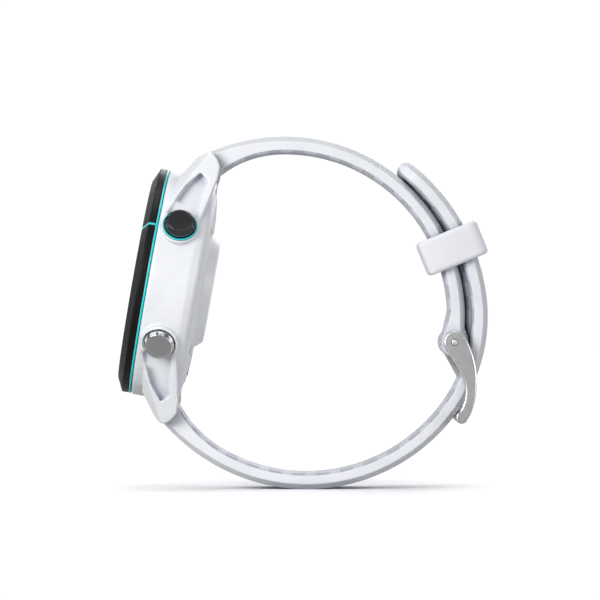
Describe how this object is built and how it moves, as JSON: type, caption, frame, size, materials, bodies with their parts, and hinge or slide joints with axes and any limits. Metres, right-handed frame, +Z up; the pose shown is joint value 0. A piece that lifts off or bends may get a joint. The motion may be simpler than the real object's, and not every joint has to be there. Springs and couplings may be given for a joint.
{
  "type": "gps running watch",
  "caption": "Round sports watch with side buttons, lugs and a silicone strap buckled into a closed loop.",
  "frame": {"origin": "centre of the flat rear sensor window, where the watch rests on the wrist", "axes": "+Z up, towards 12 o'clock with the head leaning back 10 degrees; the dial looks towards -X; 3 o'clock is on the -Y side; the strap closes towards +X"},
  "size_m": [0.0681, 0.0444, 0.0645],
  "materials": {
    "case_plastic": "satin moulded fibre-reinforced polymer, white",
    "cover_plastic": "satin moulded polymer, white",
    "bezel_plastic": "fine matte moulded polymer, black",
    "accent_plastic": "turquoise moulded trim",
    "lens_glass": "strengthened glass over a dark display",
    "sensor_glass": "dark optical window",
    "silicone": "white silicone, satin",
    "buckle_steel": "satin stainless steel with polished edges",
    "button_steel": "satin metal face, polished side",
    "button_black": "black satin metal face, polished side",
    "bar_steel": "drawn stainless steel",
    "screw_steel": "machined stainless steel",
    "seal_rubber": "black elastomer",
    "board": "green solder mask",
    "panel": "display panel, dark when off",
    "dark_plastic": "black moulded polymer",
    "battery_foil": "laminated foil",
    "contact_gold": "gold plated contact",
    "antenna_copper": "copper",
    "motor_steel": "pressed steel can"
  },
  "bodies": {
    "watch": {"accent_ring": "accent_plastic", "antenna_ring": "antenna_copper", "back_cover": "cover_plastic", "back_seal": "seal_rubber", "back_switch": "motor_steel", "battery": "battery_foil", "bezel": "bezel_plastic", "buckle_pin": "buckle_steel", "buzzer": "contact_gold", "case_screw_1": "screw_steel", "case_screw_2": "screw_steel", "case_screw_3": "screw_steel", "case_screw_4": "screw_steel", "charging_contact_1": "contact_gold", "charging_contact_2": "contact_gold", "charging_contact_3": "contact_gold", "charging_contact_4": "contact_gold", "charging_socket": "dark_plastic", "display_carrier": "dark_plastic", "display_panel": "panel", "display_seal": "seal_rubber", "down_seal": "seal_rubber", "down_switch": "motor_steel", "lens": "lens_glass", "light_seal": "seal_rubber", "light_switch": "motor_steel", "lower_spring_bar": "bar_steel", "lower_strap": "silicone", "main_board": "board", "middle_case": "case_plastic", "rear_seal": "seal_rubber", "sensor_board": "board", "sensor_window": "sensor_glass", "start_accent": "accent_plastic", "start_marker": "accent_plastic", "start_seal": "seal_rubber", "start_switch": "motor_steel", "up_seal": "seal_rubber", "up_switch": "motor_steel", "upper_spring_bar": "bar_steel", "upper_strap": "silicone", "vibration_motor": "motor_steel"},
    "start_button": {"start_button": "button_black"},
    "back_button": {"back_button": "button_steel"},
    "light_button": {"light_button": "button_steel"},
    "up_button": {"up_button": "button_steel"},
    "down_button": {"down_button": "button_steel"},
    "upper_release_pin": {"upper_release_pin": "bar_steel"},
    "lower_release_pin": {"lower_release_pin": "bar_steel"},
    "keeper": {"keeper": "silicone"},
    "buckle_frame": {"buckle_frame": "buckle_steel"},
    "buckle_tongue": {"buckle_tongue": "buckle_steel"}
  },
  "joints": [
    {"name": "start_press", "type": "slide", "parent": "watch", "child": "start_button", "axis": [-0.0868, 0.866, -0.4924], "range_m": [0, 0.0005], "stiffness_N_per_m": 500},
    {"name": "back_press", "type": "slide", "parent": "watch", "child": "back_button", "axis": [0.0868, 0.866, 0.4924], "range_m": [0, 0.0005], "stiffness_N_per_m": 500},
    {"name": "light_press", "type": "slide", "parent": "watch", "child": "light_button", "axis": [-0.0868, -0.866, -0.4924], "range_m": [0, 0.0005], "stiffness_N_per_m": 500},
    {"name": "up_press", "type": "slide", "parent": "watch", "child": "up_button", "axis": [0, -1, 0], "range_m": [0, 0.0005], "stiffness_N_per_m": 500},
    {"name": "down_press", "type": "slide", "parent": "watch", "child": "down_button", "axis": [0.0868, -0.866, 0.4924], "range_m": [0, 0.0005], "stiffness_N_per_m": 500},
    {"name": "upper_release", "type": "slide", "parent": "watch", "child": "upper_release_pin", "axis": [0, -1, 0], "range_m": [0, 0.0012], "stiffness_N_per_m": 300},
    {"name": "lower_release", "type": "slide", "parent": "watch", "child": "lower_release_pin", "axis": [0, -1, 0], "range_m": [0, 0.0012], "stiffness_N_per_m": 300},
    {"name": "keeper_slide", "type": "hinge", "parent": "watch", "child": "keeper", "pos_m": [0.01358, 0, -0.00442], "axis": [0, -1, 0], "range_deg": [-10, 22]},
    {"name": "buckle_swing", "type": "hinge", "parent": "watch", "child": "buckle_frame", "pos_m": [0.0446, 0, -0.00915], "axis": [0, -1, 0], "range_deg": [0, 3]},
    {"name": "tongue_swing", "type": "hinge", "parent": "watch", "child": "buckle_tongue", "pos_m": [0.0446, 0, -0.00915], "axis": [0, -1, 0], "range_deg": [0, 3]}
  ],
  "couplings": [
    {"joint": "tongue_swing", "follows": "buckle_swing", "ratio": 1}
  ]
}
